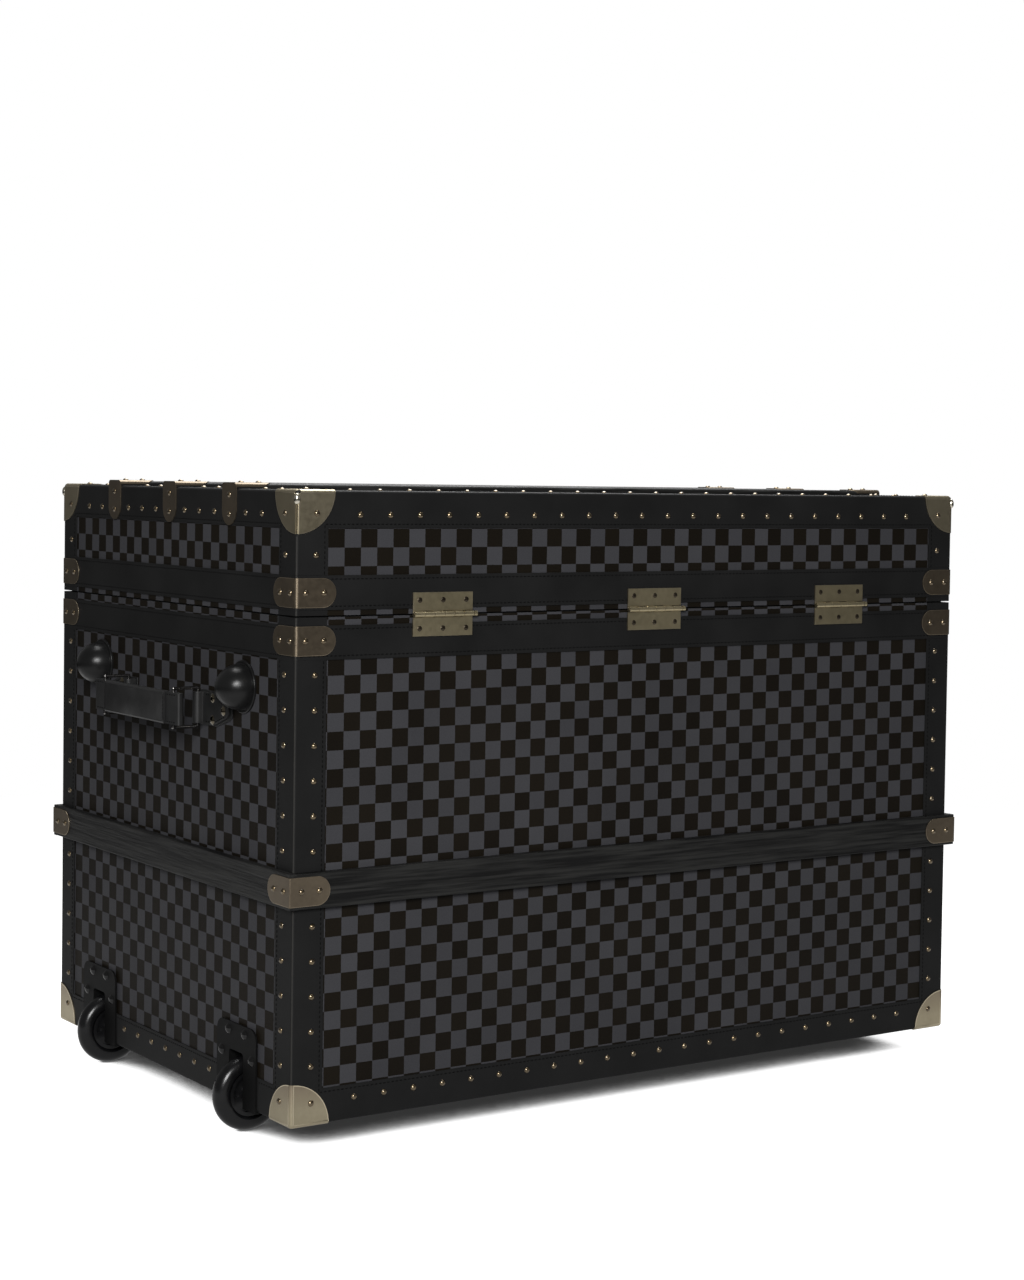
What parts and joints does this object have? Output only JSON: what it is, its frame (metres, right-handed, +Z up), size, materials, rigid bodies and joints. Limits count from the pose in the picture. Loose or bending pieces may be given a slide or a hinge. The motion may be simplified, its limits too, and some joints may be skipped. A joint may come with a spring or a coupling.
{
  "type": "wardrobe trunk",
  "caption": "Travelling wardrobe trunk with a hinged lid, end handles, edge wheels, hasps that lock, a hanging rail and a cabinet of drawers",
  "frame": {"origin": "on the floor, below the middle of the trunk's outline", "axes": "+X along the trunk towards the wheels, +Y towards the hinges, +Z up"},
  "size_m": [0.985, 0.5982, 0.683],
  "materials": {
    "case_wood": "bare plywood",
    "checked_canvas": "coated canvas in dark grey and black squares",
    "lining": "close cloth, matt",
    "binding": "black, low sheen, stitched along its edges",
    "brass": "aged, dark, satin",
    "clip_brass": "aged, dark brown, satin",
    "nail_brass": "aged, polished on the crown",
    "black_wood": "black stain, open grain",
    "wheel_hub": "gloss black",
    "wheel_tyre": "smooth, glossy black",
    "foot_rubber": "satin black",
    "housing_steel": "black, semi-gloss",
    "bright_steel": "nickel plated, worn",
    "handle_leather": "black, semi-gloss, stitched",
    "drawer_cloth": "cloth over thin board"
  },
  "bodies": {
    "trunk_body": {"body_case": "case_wood", "body_canvas": "checked_canvas", "body_lining": "lining", "body_edge_binding": "binding", "body_rim_band": "binding", "wooden_belt": "black_wood", "body_corner_caps": "brass", "body_rim_clips": "clip_brass", "belt_clips": "clip_brass", "body_nails": "nail_brass", "hinge_leaves_body": "brass", "hinge_pins": "brass", "body_screws": "brass", "rubber_feet": "foot_rubber", "wheel_housings": "housing_steel", "wheel_axles": "bright_steel", "housing_bolts": "housing_steel", "latch_cases": "brass", "handle_tabs": "handle_leather", "handle_backings": "handle_leather", "handle_rivets": "bright_steel", "drawer_cabinet": "drawer_cloth", "hanging_rail": "brass", "rail_sockets": "brass"},
    "lid": {"lid_case": "case_wood", "lid_canvas": "checked_canvas", "lid_lining": "lining", "lid_edge_binding": "binding", "lid_rim_band": "binding", "lid_corner_caps": "brass", "lid_rim_clips": "clip_brass", "lid_slats": "black_wood", "slat_clips": "clip_brass", "lid_nails": "nail_brass", "hinge_leaves_lid": "brass", "lid_screws": "brass", "hasp_plates": "brass"},
    "wheel_back": {"wheel_tyre_back": "wheel_tyre", "wheel_hub_back": "wheel_hub"},
    "wheel_front": {"wheel_tyre_front": "wheel_tyre", "wheel_hub_front": "wheel_hub"},
    "ring_wheel_end_back": {"ring_wheel_end_back": "bright_steel"},
    "ring_wheel_end_front": {"ring_wheel_end_front": "bright_steel"},
    "grip_wheel_end": {"grip_wheel_end": "handle_leather"},
    "ring_plain_end_back": {"ring_plain_end_back": "bright_steel"},
    "ring_plain_end_front": {"ring_plain_end_front": "bright_steel"},
    "grip_plain_end": {"grip_plain_end": "handle_leather"},
    "drawer_upper": {"drawer_upper": "drawer_cloth", "drawer_pull_upper": "handle_leather"},
    "drawer_centre": {"drawer_centre": "drawer_cloth", "drawer_pull_centre": "handle_leather"},
    "drawer_lower": {"drawer_lower": "drawer_cloth", "drawer_pull_lower": "handle_leather"},
    "hasp_left": {"hasp_left": "brass"},
    "hasp_middle": {"hasp_middle": "brass"},
    "hasp_right": {"hasp_right": "brass"},
    "thumb_bolt_left": {"thumb_bolt_left": "brass"},
    "thumb_bolt_right": {"thumb_bolt_right": "brass"},
    "lock_bolt": {"lock_bolt": "bright_steel"},
    "key_cylinder": {"key_cylinder": "brass"}
  },
  "joints": [
    {"name": "lid_hinge", "type": "hinge", "parent": "trunk_body", "child": "lid", "pos_m": [0, 0.2919, 0.5471], "axis": [-1, 0, 0], "range_deg": [0, 170]},
    {"name": "wheel_back_spin", "type": "hinge", "parent": "trunk_body", "child": "wheel_back", "pos_m": [0.438, 0.173, 0.04], "axis": [0, 1, 0], "continuous": true},
    {"name": "wheel_front_spin", "type": "hinge", "parent": "trunk_body", "child": "wheel_front", "pos_m": [0.438, -0.173, 0.04], "axis": [0, 1, 0], "continuous": true},
    {"name": "handle_wheel_end_swing", "type": "hinge", "parent": "trunk_body", "child": "ring_wheel_end_back", "pos_m": [0.4575, 0.087, 0.4396], "axis": [0, 0, 1], "range_deg": [-55, 55]},
    {"name": "grip_wheel_end_pivot", "type": "hinge", "parent": "ring_wheel_end_back", "child": "grip_wheel_end", "pos_m": [0.486, 0.087, 0.4396], "axis": [0, 0, 1], "range_deg": [-55, 55]},
    {"name": "ring_wheel_end_front_swing", "type": "hinge", "parent": "trunk_body", "child": "ring_wheel_end_front", "pos_m": [0.4575, -0.087, 0.4396], "axis": [0, 0, 1], "range_deg": [-55, 55]},
    {"name": "handle_plain_end_swing", "type": "hinge", "parent": "trunk_body", "child": "ring_plain_end_back", "pos_m": [-0.4575, 0.087, 0.4396], "axis": [0, 0, 1], "range_deg": [-55, 55]},
    {"name": "grip_plain_end_pivot", "type": "hinge", "parent": "ring_plain_end_back", "child": "grip_plain_end", "pos_m": [-0.486, 0.087, 0.4396], "axis": [0, 0, 1], "range_deg": [-55, 55]},
    {"name": "ring_plain_end_front_swing", "type": "hinge", "parent": "trunk_body", "child": "ring_plain_end_front", "pos_m": [-0.4575, -0.087, 0.4396], "axis": [0, 0, 1], "range_deg": [-55, 55]},
    {"name": "drawer_upper_slide", "type": "slide", "parent": "trunk_body", "child": "drawer_upper", "axis": [0, 0, 1], "range_m": [0, 0.253]},
    {"name": "drawer_centre_slide", "type": "slide", "parent": "trunk_body", "child": "drawer_centre", "axis": [0, 0, 1], "range_m": [0, 0.253]},
    {"name": "drawer_lower_slide", "type": "slide", "parent": "trunk_body", "child": "drawer_lower", "axis": [0, 0, 1], "range_m": [0, 0.253]},
    {"name": "hasp_left_flap", "type": "hinge", "parent": "lid", "child": "hasp_left", "pos_m": [-0.2734, -0.2954, 0.5619], "axis": [-1, 0, 0], "range_deg": [0, 100]},
    {"name": "hasp_middle_flap", "type": "hinge", "parent": "lid", "child": "hasp_middle", "pos_m": [0, -0.2954, 0.5619], "axis": [-1, 0, 0], "range_deg": [0, 100]},
    {"name": "hasp_right_flap", "type": "hinge", "parent": "lid", "child": "hasp_right", "pos_m": [0.2734, -0.2954, 0.5619], "axis": [-1, 0, 0], "range_deg": [0, 100]},
    {"name": "thumb_bolt_left_slide", "type": "slide", "parent": "trunk_body", "child": "thumb_bolt_left", "axis": [-1, 0, 0], "range_m": [0, 0.0105]},
    {"name": "thumb_bolt_right_slide", "type": "slide", "parent": "trunk_body", "child": "thumb_bolt_right", "axis": [-1, 0, 0], "range_m": [0, 0.0105]},
    {"name": "key_turn", "type": "hinge", "parent": "trunk_body", "child": "key_cylinder", "pos_m": [0, -0.293, 0.5008], "axis": [0, 1, 0], "range_deg": [0, 90]},
    {"name": "lock_bolt_slide", "type": "slide", "parent": "trunk_body", "child": "lock_bolt", "axis": [-1, 0, 0], "range_m": [0, 0.0105]}
  ],
  "couplings": [
    {"joint": "grip_wheel_end_pivot", "follows": "handle_wheel_end_swing", "ratio": -1},
    {"joint": "ring_wheel_end_front_swing", "follows": "handle_wheel_end_swing", "ratio": 1},
    {"joint": "grip_plain_end_pivot", "follows": "handle_plain_end_swing", "ratio": -1},
    {"joint": "ring_plain_end_front_swing", "follows": "handle_plain_end_swing", "ratio": 1},
    {"joint": "drawer_upper_slide", "follows": "lid_hinge", "m_per_rad": 0.085},
    {"joint": "drawer_centre_slide", "follows": "lid_hinge", "m_per_rad": 0.085},
    {"joint": "drawer_lower_slide", "follows": "lid_hinge", "m_per_rad": 0.085},
    {"joint": "lock_bolt_slide", "follows": "key_turn", "m_per_rad": 0.00668}
  ]
}
